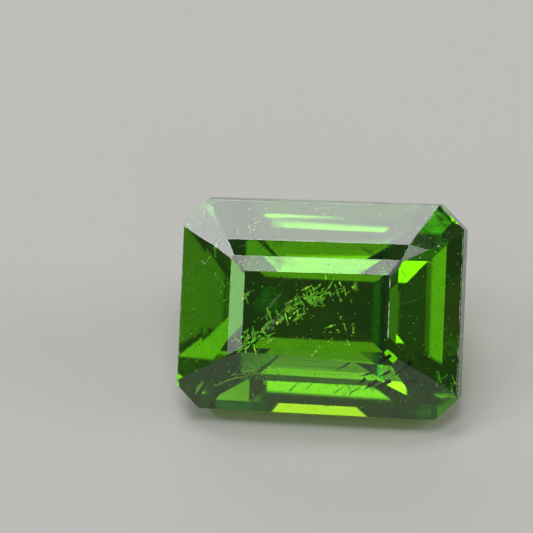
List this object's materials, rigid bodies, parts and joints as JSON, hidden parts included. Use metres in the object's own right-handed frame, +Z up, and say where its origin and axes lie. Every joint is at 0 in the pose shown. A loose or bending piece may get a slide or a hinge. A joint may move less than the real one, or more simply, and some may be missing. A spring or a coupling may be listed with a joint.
{
  "type": "faceted chrome diopside",
  "caption": "Loose green cut gemstone, a rectangular step cut with cut corners, a flat table, plain girdle and tiered pavilion ending in a keel. Lies on a pavilion facet.",
  "frame": {"origin": "middle of the bounding box, on the surface that the stone lies on", "axes": "+X along the stone's length, -Y towards the side that the table faces, +Z up"},
  "size_m": [0.008, 0.0048, 0.005],
  "materials": {
    "green_crystal": "clear deep green crystal, polished flat facets, fine nicks along the edges, tiny needles and flakes inside"
  },
  "bodies": {
    "root": {"chrome_diopside": "green_crystal"}
  },
  "joints": []
}
